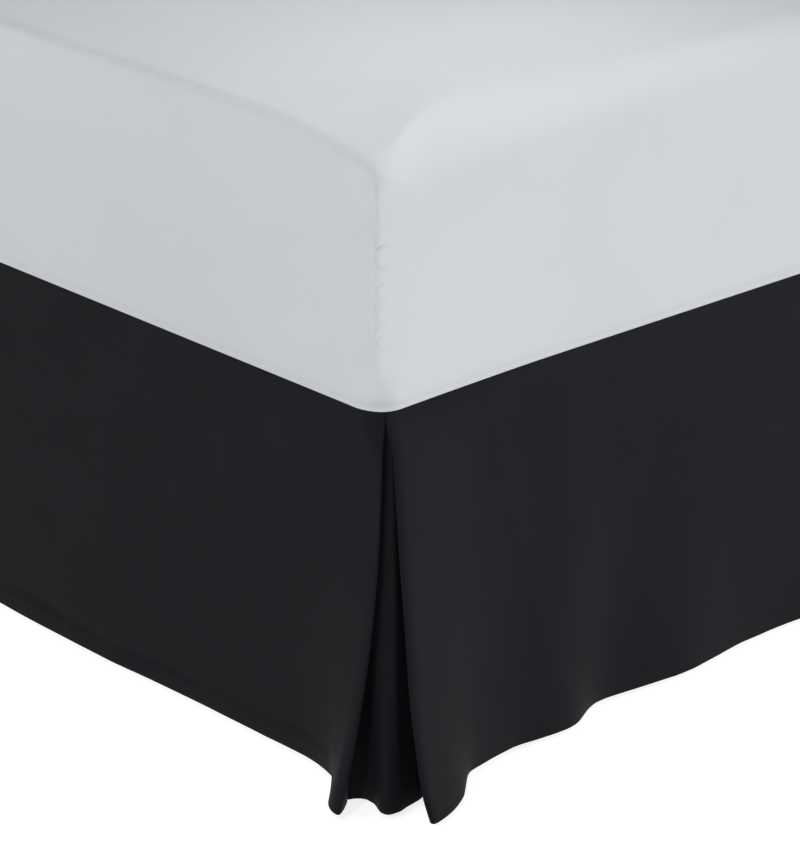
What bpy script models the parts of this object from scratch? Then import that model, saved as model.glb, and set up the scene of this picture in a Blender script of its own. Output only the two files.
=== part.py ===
"""Bed skirt with split corners, hanging on a queen-size bed.

The skirt is six cut pieces of cloth: a flat deck that lies between the box
spring and the mattress, a drop panel across the foot, a drop panel down each
long side, and an underlay behind each split foot corner. The bed under it is
plain: a mattress, a box spring, a rail frame and seven legs.

Metres, +Z up. The origin is on the floor under the middle of the bed, +Y runs
from the foot to the head, and the head end has no drop panel.
"""

import math
from collections import namedtuple

import bmesh
import bpy
from mathutils import Vector

# ---------------------------------------------------------------- bed sizes
MATTRESS_WIDTH = 1.524
MATTRESS_LENGTH = 2.032
MATTRESS_HEIGHT = 0.254
MATTRESS_CORNER = 0.032
MATTRESS_TOP_EDGE = 0.028
MATTRESS_BOTTOM_EDGE = 0.010

BASE_INSET = 0.010  # the box spring's sides stand this far inside the mattress's
BASE_CORNER = 0.032
BASE_HEIGHT = 0.200
BASE_EDGE = 0.004

FRAME_HEIGHT = 0.187  # floor to the underside of the box spring
RAIL_HEIGHT = 0.038
RAIL_WIDTH = 0.025
RAIL_CENTRE_X = 0.700
SIDE_RAIL_LENGTH = 1.900
LEG_LINES_Y = {"foot": -0.800, "middle": 0.000, "head": 0.800}

GAP = 0.0003  # between pieces that touch

# ------------------------------------------------------------ skirt sizes
CLOTH = 0.0012  # thickness of every sheet
HEM_CLEARANCE = 0.008  # the hem hangs this far above the floor
PLEAT_RETURN = 0.085  # cloth turned back behind each front at a split corner
SLIT = 0.0006  # between the two fronts at the top of a split corner
# The share of a corner's quarter turn that each front covers
TURN = {"foot": math.radians(55), "side": math.radians(35)}
CLEAR_OF_BASE = 0.002  # air between the box spring's side and the innermost sheet

UNDERLAY_OFFSET = CLEAR_OF_BASE + CLOTH / 2
RETURN_OFFSET = UNDERLAY_OFFSET + 0.0017
FACE_OFFSET = RETURN_OFFSET + 0.0024
FOLD_RADIUS = (FACE_OFFSET - RETURN_OFFSET) / 2
FOLD_SETBACK = SLIT / 2 + CLOTH / 2 + FOLD_RADIUS

# Shares of the drop at which the sheets have a row of points
LEVELS = (0.0, 0.07, 0.22, 0.42, 0.62, 0.80, 0.92, 1.0)
HANG_POWER = 1.4  # how late a wave of the hem starts on its way down
RETURN_LAG = 0.10  # how much less a return has swung than its front, half way
UNDERLAY_LAG = 0.25

# How far each front's folded edge has swung out, by share of the drop
OpeningRow = namedtuple("OpeningRow", "depth foot side")
OPENING = (
    OpeningRow(0.00, 0.000, 0.000),
    OpeningRow(0.05, 0.020, 0.040),
    OpeningRow(0.10, 0.070, 0.160),
    OpeningRow(0.22, 0.105, 0.240),
    OpeningRow(0.36, 0.155, 0.315),
    OpeningRow(0.54, 0.290, 0.435),
    OpeningRow(0.70, 0.480, 0.530),
    OpeningRow(0.85, 0.710, 0.690),
    OpeningRow(0.94, 0.880, 0.820),
    OpeningRow(1.00, 1.000, 1.000),
)

# Crests and troughs of the hem: place along the bed, depth out from the mattress face
FoldRow = namedtuple("FoldRow", "place out")
FOOT_HEM = (
    FoldRow(-0.600, 0.0010),
    FoldRow(-0.470, 0.0130),
    FoldRow(-0.335, -0.0010),
    FoldRow(-0.190, 0.0100),
    FoldRow(-0.070, 0.0010),
    FoldRow(0.045, 0.0070),
    FoldRow(0.150, 0.0020),
    FoldRow(0.325, 0.0060),
    FoldRow(0.650, -0.0012),
)
RIGHT_HEM = (
    FoldRow(-0.851, 0.0160),
    FoldRow(-0.796, 0.0220),
    FoldRow(-0.719, -0.0017),
    FoldRow(-0.616, 0.0092),
    FoldRow(-0.501, -0.0007),
    FoldRow(-0.410, 0.0060),
    FoldRow(-0.290, -0.0010),
    FoldRow(-0.130, 0.0140),
    FoldRow(-0.010, 0.0000),
    FoldRow(0.120, 0.0080),
    FoldRow(0.270, 0.0010),
    FoldRow(0.430, 0.0170),
    FoldRow(0.560, 0.0020),
    FoldRow(0.700, 0.0090),
    FoldRow(0.840, -0.0010),
    FoldRow(0.966, 0.0050),
)
LEFT_HEM = (
    FoldRow(-0.851, 0.0130),
    FoldRow(-0.760, 0.0030),
    FoldRow(-0.640, 0.0160),
    FoldRow(-0.500, 0.0000),
    FoldRow(-0.330, 0.0100),
    FoldRow(-0.200, 0.0010),
    FoldRow(-0.070, 0.0080),
    FoldRow(0.080, -0.0010),
    FoldRow(0.210, 0.0150),
    FoldRow(0.370, 0.0020),
    FoldRow(0.500, 0.0070),
    FoldRow(0.650, 0.0000),
    FoldRow(0.800, 0.0120),
    FoldRow(0.966, 0.0030),
)

# Hem of each front at a split corner, from its flat stretch round the folded edge
# and back behind it: along the front, towards and past the corner, and out from it
FlapRow = namedtuple("FlapRow", "part along out")
FOOT_FLAP = (
    FlapRow("face", -0.112, -0.0012),
    FlapRow("face", -0.080, 0.0017),
    FlapRow("face", -0.060, 0.0060),
    FlapRow("face", -0.045, 0.0150),
    FlapRow("face", -0.034, 0.0280),
    FlapRow("face", -0.024, 0.0390),
    FlapRow("face", -0.012, 0.0475),
    FlapRow("fold", 0.000, 0.0535),
    FlapRow("fold", 0.0065, 0.0535),
    FlapRow("return", 0.005, 0.0470),
    FlapRow("return", -0.0055, 0.0305),
    FlapRow("return", -0.014, 0.0222),
    FlapRow("return", -0.028, 0.0118),
    FlapRow("return", -0.052, 0.0050),
)
SIDE_FLAP = (
    FlapRow("face", -0.165, 0.0160),
    FlapRow("face", -0.140, 0.0172),
    FlapRow("face", -0.112, 0.0205),
    FlapRow("face", -0.092, 0.0270),
    FlapRow("face", -0.070, 0.0455),
    FlapRow("face", -0.050, 0.0615),
    FlapRow("face", -0.028, 0.0725),
    FlapRow("face", -0.010, 0.0785),
    FlapRow("fold", 0.0015, 0.0805),
    FlapRow("fold", 0.0025, 0.0760),
    FlapRow("return", -0.003, 0.0700),
    FlapRow("return", -0.015, 0.0550),
    FlapRow("return", -0.028, 0.0400),
    FlapRow("return", -0.046, 0.0250),
    FlapRow("return", -0.072, 0.0120),
)

# Hem of the corner underlay: out from the long side's mattress face and from the foot's
UnderlayRow = namedtuple("UnderlayRow", "part side_out foot_out")
UNDERLAY = (
    UnderlayRow("foot", -0.0520, 0.0024),
    UnderlayRow("foot", -0.0275, 0.0085),
    UnderlayRow("foot", -0.0160, 0.0145),
    UnderlayRow("foot", -0.0115, 0.0195),
    UnderlayRow("open", -0.0070, 0.0248),
    UnderlayRow("open", -0.0020, 0.0180),
    UnderlayRow("open", 0.0045, 0.0150),
    UnderlayRow("open", 0.0140, 0.0170),
    UnderlayRow("open", 0.0270, 0.0208),
    UnderlayRow("open", 0.0350, 0.0205),
    UnderlayRow("open", 0.0388, 0.0150),
    UnderlayRow("open", 0.0395, 0.0050),
    UnderlayRow("open", 0.0390, -0.0090),
    UnderlayRow("side", 0.0370, -0.0210),
    UnderlayRow("side", 0.0285, -0.0350),
    UnderlayRow("side", 0.0175, -0.0530),
    UnderlayRow("side", 0.0090, -0.0725),
)

# Points along each stretch of cloth
MIDDLE_SPACING = 0.028
FLAP_COLUMNS = 13
FOLD_COLUMNS = 5
RETURN_COLUMNS = 8
UNDERLAY_HIDDEN_COLUMNS = 6
UNDERLAY_OPEN_COLUMNS = 18

# How far the pleat stands open at each foot corner, as a share of the tables above
CORNER_SWING = {"right": 1.0, "left": 0.86}
CORNER_SIGN = {"right": 1, "left": -1}

# --------------------------------------------------------- worked-out sizes
HALF_WIDTH = MATTRESS_WIDTH / 2
HALF_LENGTH = MATTRESS_LENGTH / 2
BASE_HALF_WIDTH = HALF_WIDTH - BASE_INSET
BASE_HALF_LENGTH = HALF_LENGTH - BASE_INSET
BASE_BOTTOM = FRAME_HEIGHT + GAP
BASE_TOP = BASE_BOTTOM + BASE_HEIGHT
DECK_BOTTOM = BASE_TOP + GAP
DECK_TOP = DECK_BOTTOM + CLOTH
MATTRESS_BOTTOM = DECK_TOP + GAP
DECK_REACH = FACE_OFFSET + CLOTH / 2  # from the box spring's side to the deck's rim
SEAM_HEIGHT = DECK_BOTTOM - GAP  # where the hanging sheets meet the deck
HEAD_END = BASE_HALF_LENGTH - BASE_CORNER  # where the long side panels stop
ARC_CENTRE = BASE_INSET + BASE_CORNER  # inside the mattress's square corner, both ways
LEG_HEIGHT = FRAME_HEIGHT - RAIL_HEIGHT - GAP

# ------------------------------------------------------------ start clean
for old in list(bpy.data.objects):
    bpy.data.objects.remove(old, do_unlink=True)

parts = bpy.data.collections.new("bed_skirt_on_bed")
bpy.context.scene.collection.children.link(parts)


# --------------------------------------------------------------- materials
def material(name, colour, roughness, metallic=0.0):
    """A Principled material with one colour."""
    made = bpy.data.materials.new(name)
    made.use_nodes = True
    shader = made.node_tree.nodes["Principled BSDF"]
    shader.inputs["Base Color"].default_value = (*colour, 1.0)
    shader.inputs["Roughness"].default_value = roughness
    shader.inputs["Metallic"].default_value = metallic
    return made


SKIRT_CLOTH = material("skirt_cloth", (0.017, 0.017, 0.020), 0.85)
DECK_CLOTH = material("deck_cloth", (0.62, 0.62, 0.60), 0.90)
SHEET_CLOTH = material("sheet_cloth", (0.70, 0.72, 0.74), 0.80)
TICKING = material("ticking", (0.52, 0.51, 0.49), 0.90)
PAINTED_STEEL = material("painted_steel", (0.030, 0.030, 0.032), 0.45, 0.6)
LEG_PLASTIC = material("leg_plastic", (0.022, 0.022, 0.022), 0.55)


# ------------------------------------------------------------------ helpers
def add_part(name, bm, look):
    """Turn a bmesh into one named object in the part's collection."""
    mesh = bpy.data.meshes.new(name)
    bmesh.ops.recalc_face_normals(bm, faces=bm.faces)
    bm.to_mesh(mesh)
    bm.free()
    made = bpy.data.objects.new(name, mesh)
    made.data.materials.append(look)
    parts.objects.link(made)
    return made


def upright_edges(bm):
    """The edges that run straight up."""
    return [e for e in bm.edges if abs((e.verts[0].co - e.verts[1].co).normalized().z) > 0.99]


def rim_edges(bm, height):
    """The edges that lie level at a height."""
    return [e for e in bm.edges if all(abs(v.co.z - height) < 1e-5 for v in e.verts)]


def slab(name, size, centre, bottom, look, corner=0.0, segments=6):
    """A box from a cube, with its upright corners rounded."""
    bm = bmesh.new()
    bmesh.ops.create_cube(bm, size=1.0)
    bmesh.ops.scale(bm, vec=size, verts=bm.verts)
    if corner:
        bmesh.ops.bevel(
            bm, geom=upright_edges(bm), offset=corner, segments=segments, profile=0.5, affect="EDGES"
        )
    made = add_part(name, bm, look)
    made.location = (centre[0], centre[1], bottom + size[2] / 2)
    return made


def round_rim(part, side, radius, segments):
    """Round the top (side 1) or bottom (side -1) rim of a slab."""
    bm = bmesh.new()
    bm.from_mesh(part.data)
    height = side * max(v.co.z for v in bm.verts)
    bmesh.ops.bevel(
        bm, geom=rim_edges(bm, height), offset=radius, segments=segments, profile=0.5, affect="EDGES"
    )
    bm.to_mesh(part.data)
    bm.free()


def smooth_step(share):
    """0 to 1 with level ends."""
    return 0.5 - 0.5 * math.cos(math.pi * min(max(share, 0.0), 1.0))


def mix(first, second, share):
    """A point or number between two."""
    return first + (second - first) * share


def read_row(rows, at, column):
    """Read one column of a table by straight lines between its rows."""
    for before, after in zip(rows, rows[1:]):
        if at <= after[0]:
            share = (at - before[0]) / (after[0] - before[0])
            return mix(getattr(before, column), getattr(after, column), share)
    return getattr(rows[-1], column)


def wave_at(rows, place):
    """Outward depth of the hem at a place: crests and troughs joined by half waves."""
    for before, after in zip(rows, rows[1:]):
        if place <= after.place:
            share = (place - before.place) / (after.place - before.place)
            return mix(before.out, after.out, smooth_step(share))
    return rows[-1].out


def smooth_line(points, steps=10):
    """A Catmull-Rom line through the points; each point's index in it is steps apart."""
    ends = [points[0] * 2 - points[1], *points, points[-1] * 2 - points[-2]]
    line = []
    for a, b, c, d in zip(ends, ends[1:], ends[2:], ends[3:]):
        for k in range(steps):
            t = k / steps
            bend = (a * 2 - b * 5 + c * 4 - d) * t**2 + (b * 3 - a - c * 3 + d) * t**3
            line.append((b * 2 + (c - a) * t + bend) / 2)
    line.append(points[-1].copy())
    return line


def spread(line, count):
    """Points evenly spaced along a line, its ends included."""
    reach = [0.0]
    for before, after in zip(line, line[1:]):
        reach.append(reach[-1] + (after - before).length)
    points = []
    piece = 0
    for k in range(count + 1):
        target = reach[-1] * k / count
        while piece < len(line) - 2 and reach[piece + 1] < target:
            piece += 1
        share = (target - reach[piece]) / (reach[piece + 1] - reach[piece])
        points.append(mix(line[piece], line[piece + 1], share))
    return points


# ---------------------------------------------------- lines of the skirt
Column = namedtuple("Column", "top hem fold_share side_share lag")


def seam_place(front, offset, back):
    """A point on the deck's seam, going back from a corner's slit along one front.

    offset is out from the box spring's side, and back is measured on that line. The
    result is (along, out): towards the corner and out from that front's mattress face.
    """
    radius = BASE_CORNER + offset
    bend = radius * TURN[front]
    if back >= bend:
        return Vector((-ARC_CENTRE - (back - bend), -BASE_INSET + offset))
    angle = TURN[front] - back / radius
    return Vector((-ARC_CENTRE + radius * math.sin(angle), -ARC_CENTRE + radius * math.cos(angle)))


def seam_line(front, offset, start, end, steps=60):
    """The seam between two distances back from a corner's slit."""
    return [seam_place(front, offset, mix(start, end, k / steps)) for k in range(steps + 1)]


def fold_line(front, steps=12):
    """The seam's turn of half a circle at a front's folded edge."""
    middle = (FACE_OFFSET + RETURN_OFFSET) / 2
    line = []
    for k in range(steps + 1):
        turn = math.pi * k / steps
        offset = middle + FOLD_RADIUS * math.cos(turn)
        line.append(seam_place(front, offset, FOLD_SETBACK - FOLD_RADIUS * math.sin(turn)))
    return line


def split_line(rows, points):
    """A smooth line through a table's points, cut where the table's part changes."""
    steps = 10
    line = smooth_line(points, steps)
    cuts = [0]
    for k in range(1, len(rows)):
        if rows[k].part != rows[k - 1].part:
            cuts.append(k * steps)
    cuts.append(len(line) - 1)
    return [line[start : end + 1] for start, end in zip(cuts, cuts[1:])]


def line_length(line):
    """The length of a line of points."""
    return sum((after - before).length for before, after in zip(line, line[1:]))


def stretch(top_line, hem_line, count):
    """Pairs of points evenly spaced along a stretch of the seam and of the hem."""
    return list(zip(spread(top_line, count), spread(hem_line, count)))


def flap_columns(front, rows):
    """The columns of one front from its flat stretch round the folded edge to its return's end.

    Each is (along, out) at the seam and at the hem, still in that front's own directions.
    """
    side_share = 1.0 if front == "side" else 0.0
    face, fold, back = split_line(rows, [Vector((row.along, row.out)) for row in rows])
    face_seam = seam_line(front, FACE_OFFSET, FOLD_SETBACK + line_length(face), FOLD_SETBACK)
    back_seam = seam_line(front, RETURN_OFFSET, FOLD_SETBACK, PLEAT_RETURN)
    columns = []
    for k, (top, low) in enumerate(stretch(face_seam, face, FLAP_COLUMNS)):
        columns.append(Column(top, low, smooth_step(k / FLAP_COLUMNS), side_share, 0.0))
    for top, low in stretch(fold_line(front), fold, FOLD_COLUMNS)[1:]:
        columns.append(Column(top, low, 1.0, side_share, 0.0))
    for k, (top, low) in enumerate(stretch(back_seam, back, RETURN_COLUMNS)[1:]):
        lag = RETURN_LAG * smooth_step((k + 1) / RETURN_COLUMNS)
        columns.append(Column(top, low, 1.0, side_share, lag))
    return columns


def swing_column(column, swing):
    """The column with its hem nearer to its seam."""
    return column._replace(hem=mix(column.top, column.hem, swing))


def turn_column(column, place):
    """The column with its (along, out) points placed in the world."""
    return column._replace(top=place(column.top), hem=place(column.hem))


def place_on_foot(sign):
    """From a foot front's (along, out) to the world, at the right or left corner."""
    return lambda point: Vector((sign * (HALF_WIDTH + point.x), -HALF_LENGTH - point.y))


def place_on_side(sign):
    """From a long side front's (along, out) to the world, at the right or left corner."""
    return lambda point: Vector((sign * (HALF_WIDTH + point.y), -HALF_LENGTH - point.x))


def corner_columns(front, rows, corner, place):
    """A front's columns at one corner, in the world, from the flat stretch to the return's end."""
    columns = flap_columns(front, rows)
    return [turn_column(swing_column(c, CORNER_SWING[corner]), place) for c in columns]


def foot_drop_columns():
    """The foot panel, from the left corner's return to the right corner's."""
    left = corner_columns("foot", FOOT_FLAP, "left", place_on_foot(-1))
    right = corner_columns("foot", FOOT_FLAP, "right", place_on_foot(1))
    middle = []
    count = round((right[0].hem.x - left[0].hem.x) / MIDDLE_SPACING)
    for k in range(1, count):
        top = mix(left[0].top, right[0].top, k / count)
        x = mix(left[0].hem.x, right[0].hem.x, k / count)
        hem = Vector((x, -HALF_LENGTH - wave_at(FOOT_HEM, x)))
        middle.append(Column(top, hem, 0.0, 0.0, 0.0))
    return left[::-1] + middle + right


def side_drop_columns(corner, rows):
    """A long side panel, from its foot corner's return to its plain end at the head."""
    sign = CORNER_SIGN[corner]
    flap = corner_columns("side", SIDE_FLAP, corner, place_on_side(sign))
    straight = []
    count = round((HEAD_END - flap[0].hem.y) / MIDDLE_SPACING)
    for k in range(1, count + 1):
        top = Vector((flap[0].top.x, mix(flap[0].top.y, HEAD_END, k / count)))
        y = mix(flap[0].hem.y, HEAD_END, k / count)
        hem = Vector((sign * (HALF_WIDTH + wave_at(rows, y)), y))
        straight.append(Column(top, hem, 0.0, 1.0, 0.0))
    return flap[::-1] + straight


def underlay_columns(corner):
    """A corner underlay, from the seam with the foot's return to that with the long side's."""
    foot, opened, side = split_line(UNDERLAY, [Vector((row.side_out, row.foot_out)) for row in UNDERLAY])
    foot_end = PLEAT_RETURN - line_length(foot)
    side_start = PLEAT_RETURN - line_length(side)
    foot_seam = seam_line("foot", UNDERLAY_OFFSET, PLEAT_RETURN, foot_end)
    side_seam = [point.yx for point in seam_line("side", UNDERLAY_OFFSET, side_start, PLEAT_RETURN)]
    open_seam = seam_line("foot", UNDERLAY_OFFSET, foot_end, 0.0)
    open_seam += [point.yx for point in seam_line("side", UNDERLAY_OFFSET, 0.0, side_start)[1:]]
    columns = []
    for top, low in stretch(foot_seam, foot, UNDERLAY_HIDDEN_COLUMNS):
        columns.append(Column(top, low, 1.0, 0.0, UNDERLAY_LAG))
    for k, (top, low) in enumerate(stretch(open_seam, opened, UNDERLAY_OPEN_COLUMNS)[1:]):
        across = 2 * (k + 1) / UNDERLAY_OPEN_COLUMNS - 1
        columns.append(Column(top, low, 1.0, smooth_step(across), UNDERLAY_LAG))
    for top, low in stretch(side_seam, side, UNDERLAY_HIDDEN_COLUMNS)[1:]:
        columns.append(Column(top, low, 1.0, 1.0, UNDERLAY_LAG))
    place = place_on_foot(CORNER_SIGN[corner])
    return [turn_column(swing_column(c, CORNER_SWING[corner]), place) for c in columns]


# -------------------------------------------------------- hanging sheets
def swing_share(column, depth):
    """How far a column has gone from its place at the seam to its place at the hem."""
    at_fold = mix(
        read_row(OPENING, depth, "foot"), read_row(OPENING, depth, "side"), column.side_share
    )
    share = mix(depth**HANG_POWER, at_fold, column.fold_share)
    return share * (1 - column.lag * (1 - share))


def hanging_sheet(name, columns):
    """A sheet of cloth that hangs from its seam: a grid with a column for each of columns."""
    across = len(columns) - 1
    down = len(LEVELS) - 1
    bm = bmesh.new()
    bmesh.ops.create_grid(bm, x_segments=across, y_segments=down, size=1.0)
    for vert in bm.verts:
        column = columns[round((vert.co.x + 1) / 2 * across)]
        depth = LEVELS[round((1 - vert.co.y) / 2 * down)]
        plan = mix(column.top, column.hem, swing_share(column, depth))
        vert.co = (*plan, mix(SEAM_HEIGHT, HEM_CLEARANCE, depth))
    made = add_part(name, bm, SKIRT_CLOTH)
    thickness = made.modifiers.new("Thickness", "SOLIDIFY")
    thickness.thickness = CLOTH
    thickness.offset = 0.0
    return made


def build_skirt():
    """The deck, the three drop panels and the two corner underlays."""
    deck_size = (
        2 * (BASE_HALF_WIDTH + DECK_REACH),
        2 * (BASE_HALF_LENGTH + DECK_REACH),
        CLOTH,
    )
    slab("skirt_deck", deck_size, (0, 0), DECK_BOTTOM, DECK_CLOTH, BASE_CORNER + DECK_REACH, 8)
    hanging_sheet("skirt_foot_drop", foot_drop_columns())
    hanging_sheet("skirt_side_drop_right", side_drop_columns("right", RIGHT_HEM))
    hanging_sheet("skirt_side_drop_left", side_drop_columns("left", LEFT_HEM))
    for corner in CORNER_SIGN:
        hanging_sheet(f"skirt_underlay_{corner}", underlay_columns(corner))


# ------------------------------------------------------------------- bed
def build_mattress():
    """The mattress: a block with round corners and soft edges."""
    size = (MATTRESS_WIDTH, MATTRESS_LENGTH, MATTRESS_HEIGHT)
    made = slab("mattress", size, (0, 0), MATTRESS_BOTTOM, SHEET_CLOTH, MATTRESS_CORNER, 7)
    round_rim(made, 1, MATTRESS_TOP_EDGE, 4)
    round_rim(made, -1, MATTRESS_BOTTOM_EDGE, 2)
    made.data.shade_smooth()


def build_box_spring():
    """The box spring under the deck."""
    size = (2 * BASE_HALF_WIDTH, 2 * BASE_HALF_LENGTH, BASE_HEIGHT)
    made = slab("box_spring", size, (0, 0), BASE_BOTTOM, TICKING, BASE_CORNER, 7)
    round_rim(made, 1, BASE_EDGE, 1)
    round_rim(made, -1, BASE_EDGE, 1)


def build_rails():
    """Two side rails and three cross rails that butt against them."""
    bottom = FRAME_HEIGHT - RAIL_HEIGHT
    side_size = (RAIL_WIDTH, SIDE_RAIL_LENGTH, RAIL_HEIGHT)
    cross_size = (2 * RAIL_CENTRE_X - RAIL_WIDTH - 2 * GAP, RAIL_WIDTH, RAIL_HEIGHT)
    for corner, sign in CORNER_SIGN.items():
        slab(f"side_rail_{corner}", side_size, (sign * RAIL_CENTRE_X, 0), bottom, PAINTED_STEEL)
    for line, y in LEG_LINES_Y.items():
        slab(f"cross_rail_{line}", cross_size, (0, y), bottom, PAINTED_STEEL)


# Turned profile of a leg, from its top down: radius and height as a share of the leg's
LegRow = namedtuple("LegRow", "radius height")
LEG_PROFILE = (
    LegRow(0.0000, 1.00),
    LegRow(0.0120, 1.00),
    LegRow(0.0120, 0.97),
    LegRow(0.0190, 0.94),
    LegRow(0.0140, 0.12),
    LegRow(0.0220, 0.08),
    LegRow(0.0220, 0.00),
    LegRow(0.0000, 0.00),
)
LEG_STEPS = 16


def build_leg(name, x, y):
    """One turned leg with a wide glide foot, standing on the floor."""
    bm = bmesh.new()
    verts = [bm.verts.new((row.radius, 0, row.height * LEG_HEIGHT)) for row in LEG_PROFILE]
    for before, after in zip(verts, verts[1:]):
        bm.edges.new((before, after))
    mesh = bpy.data.meshes.new(name)
    bm.to_mesh(mesh)
    bm.free()
    made = bpy.data.objects.new(name, mesh)
    made.data.materials.append(LEG_PLASTIC)
    made.location = (x, y, 0)
    parts.objects.link(made)
    turn = made.modifiers.new("Turn", "SCREW")
    turn.steps = LEG_STEPS
    turn.render_steps = LEG_STEPS
    turn.use_merge_vertices = True
    turn.merge_threshold = 0.0001
    turn.use_smooth_shade = True
    return made


def build_legs():
    """Six legs under the side rails and one under the middle cross rail."""
    for line, y in LEG_LINES_Y.items():
        for corner, sign in CORNER_SIGN.items():
            build_leg(f"leg_{line}_{corner}", sign * RAIL_CENTRE_X, y)
    build_leg("leg_centre", 0.0, LEG_LINES_Y["middle"])


build_mattress()
build_box_spring()
build_rails()
build_legs()
build_skirt()
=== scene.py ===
"""Bed skirt with split, pleat-backed foot corners on a plain bed: the dressed model.

Metres, +Z up, the origin on the floor under the middle of the bed, +Y from the foot
of the bed to its head.
"""

import math
from collections import namedtuple

import bmesh
import bpy
import numpy as np
from mathutils import Matrix, Vector, noise


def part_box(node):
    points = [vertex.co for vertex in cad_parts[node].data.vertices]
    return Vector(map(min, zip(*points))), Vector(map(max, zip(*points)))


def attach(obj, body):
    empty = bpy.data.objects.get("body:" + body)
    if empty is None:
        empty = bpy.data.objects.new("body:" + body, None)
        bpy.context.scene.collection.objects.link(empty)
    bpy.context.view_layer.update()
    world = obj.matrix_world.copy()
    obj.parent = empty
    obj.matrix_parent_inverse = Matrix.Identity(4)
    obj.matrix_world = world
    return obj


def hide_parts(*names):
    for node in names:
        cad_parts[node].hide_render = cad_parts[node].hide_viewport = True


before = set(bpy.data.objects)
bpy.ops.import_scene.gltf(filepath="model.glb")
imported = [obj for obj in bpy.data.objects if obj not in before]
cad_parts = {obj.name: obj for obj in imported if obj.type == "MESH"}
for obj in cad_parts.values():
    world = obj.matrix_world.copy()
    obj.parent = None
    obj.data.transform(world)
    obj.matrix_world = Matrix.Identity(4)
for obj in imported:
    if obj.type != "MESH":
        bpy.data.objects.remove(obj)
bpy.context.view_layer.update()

# ---- bed sizes
HALF_WIDTH = 1.524 / 2
HALF_LENGTH = 2.032 / 2
MATTRESS_TOP = 0.6431
MATTRESS_BOTTOM = 0.3891
MATTRESS_CORNER = 0.030  # round below, and pulled tight by the sheet's corner seam above
SIDE_TOP_EDGE = 0.046  # radius of the soft top edge along the long sides
SIDE_TOP_CORNER = 0.064  # and beside the corner seams
END_TOP_EDGE = 0.009  # and across the foot and the head

BASE_INSET = 0.010
BASE_CORNER = 0.032
BASE_HALF_WIDTH = HALF_WIDTH - BASE_INSET
BASE_HALF_LENGTH = HALF_LENGTH - BASE_INSET
BASE_BOTTOM = 0.1873
BASE_TOP = 0.3873
DECK_BOTTOM = 0.3876
DECK_RISE = 0.0006  # to the middle of the cloth
DECK_HALF = 0.0004  # half the deck cloth's thickness
DECK_HEM_HALF = 0.00055  # and half its edge's
COVER_INSET, COVER_SWELL = 0.0042, 0.0026  # the box spring's sides between their tapes
TAPE_RADIUS = 0.0041
TAPE_INSET = 0.0042
TAPE_STEP = 0.0021  # from one of its rows of points to the next

FRAME_HEIGHT = 0.187
RAIL_HEIGHT = 0.038
RAIL_CENTRE_X = 0.700
RAIL_EDGE = 0.0022
BOLT_SEAT_X = 0.7125  # the side rails' outer faces

# ---- skirt sizes
CLOTH = 0.0007
HEM_CLOTH = 0.0012  # where the hem is turned up
HEM_CLEARANCE = 0.008
SEAM_HEIGHT = 0.3889  # the drop panels' top edges, level with the deck's top
DROP = SEAM_HEIGHT - HEM_CLEARANCE
PLEAT_RETURN = 0.085
SEAM_CORNER = 0.016  # the drop panels' seam turns tighter than the box spring under it
TURN = {"foot": math.radians(62.8), "side": math.radians(27.2)}
UNDERLAY_OFFSET = 0.0026
RETURN_OFFSET = 0.0043
FACE_OFFSET = 0.0067
FOLD_RADIUS = 0.0012
FOLD_SETBACK = FOLD_RADIUS + CLOTH / 2 + 0.00008
DECK_REACH = FACE_OFFSET - CLOTH / 2 - 0.0002  # to the inside of the drop panels
HEAD_END = BASE_HALF_LENGTH - BASE_CORNER
ARC_CENTRE = BASE_INSET + SEAM_CORNER
HANG_POWER = 1.8
RETURN_LAG = 0.10
UNDERLAY_LAG = 0.25
WAVE_REACH = 0.030  # the hem's shorter waves than this die out
WAVE_HEIGHT = 0.016  # over about this height above it
CORNER_SWING = {"right": 1.0, "left": 0.86}
CORNER_SIGN = {"right": 1, "left": -1}

# Below its seam the foot's flap lies on a straight line that starts a little past the
# mattress's corner and slants in towards it; further back it is on the seam's line again
EASE_DEPTH = 0.12  # the share of the drop over which it gets there
EASE_PAST = 0.0010
EASE_SLANT, EASE_SLANT_LENGTH = 0.0061, 0.101
EASE_STRAIGHT, EASE_RETURN = 0.060, 0.080  # how far it is straight, and the way back

# Below its seam the underlay swells out, on the long side of the slit
SWELL = 0.0056
SWELL_PLACE = 0.0080
SWELL_REACH = 0.0075
SWELL_WAY = (0.82, 0.57)  # out from the long side, and from the foot

# Soft ripples: (depth, how close they are along and up the cloth, how soon they start)
RIPPLES = ((0.0009, 5.0, 2.0, 3.0), (0.00035, 19.0, 7.0, 5.0))
# Drag marks above the hem: height, half their width, how far they wander
DRAG_HEIGHT, DRAG_REACH, DRAG_WANDER = 0.0245, 0.0065, 0.006
# Fine crinkles in the hem: depth, height, half the height of their band
CRINKLE, CRINKLE_HEIGHT, CRINKLE_REACH = 0.0003, 0.014, 0.012
# A panel's ends and folded edges keep their hem line: over how far, and how it fades
KEEP_LENGTH, KEEP_FADE = 0.004, 0.026

# How far each front's folded edge has swung out: (share of the drop, foot, long side)
OPENING = (
    (0.0, 0.0, 0.0), (0.03, 0.004, 0.008), (0.05, 0.02, 0.04), (0.1, 0.07, 0.16),
    (0.22, 0.105, 0.24), (0.36, 0.155, 0.315), (0.54, 0.29, 0.435), (0.7, 0.48, 0.53),
    (0.85, 0.71, 0.69), (0.94, 0.88, 0.82), (1.0, 1.0, 1.0),
)


def metres(*rows):
    """Rows of lengths given in millimetres."""
    return [tuple(round(value / 1000, 7) for value in row) for row in rows]


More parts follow.
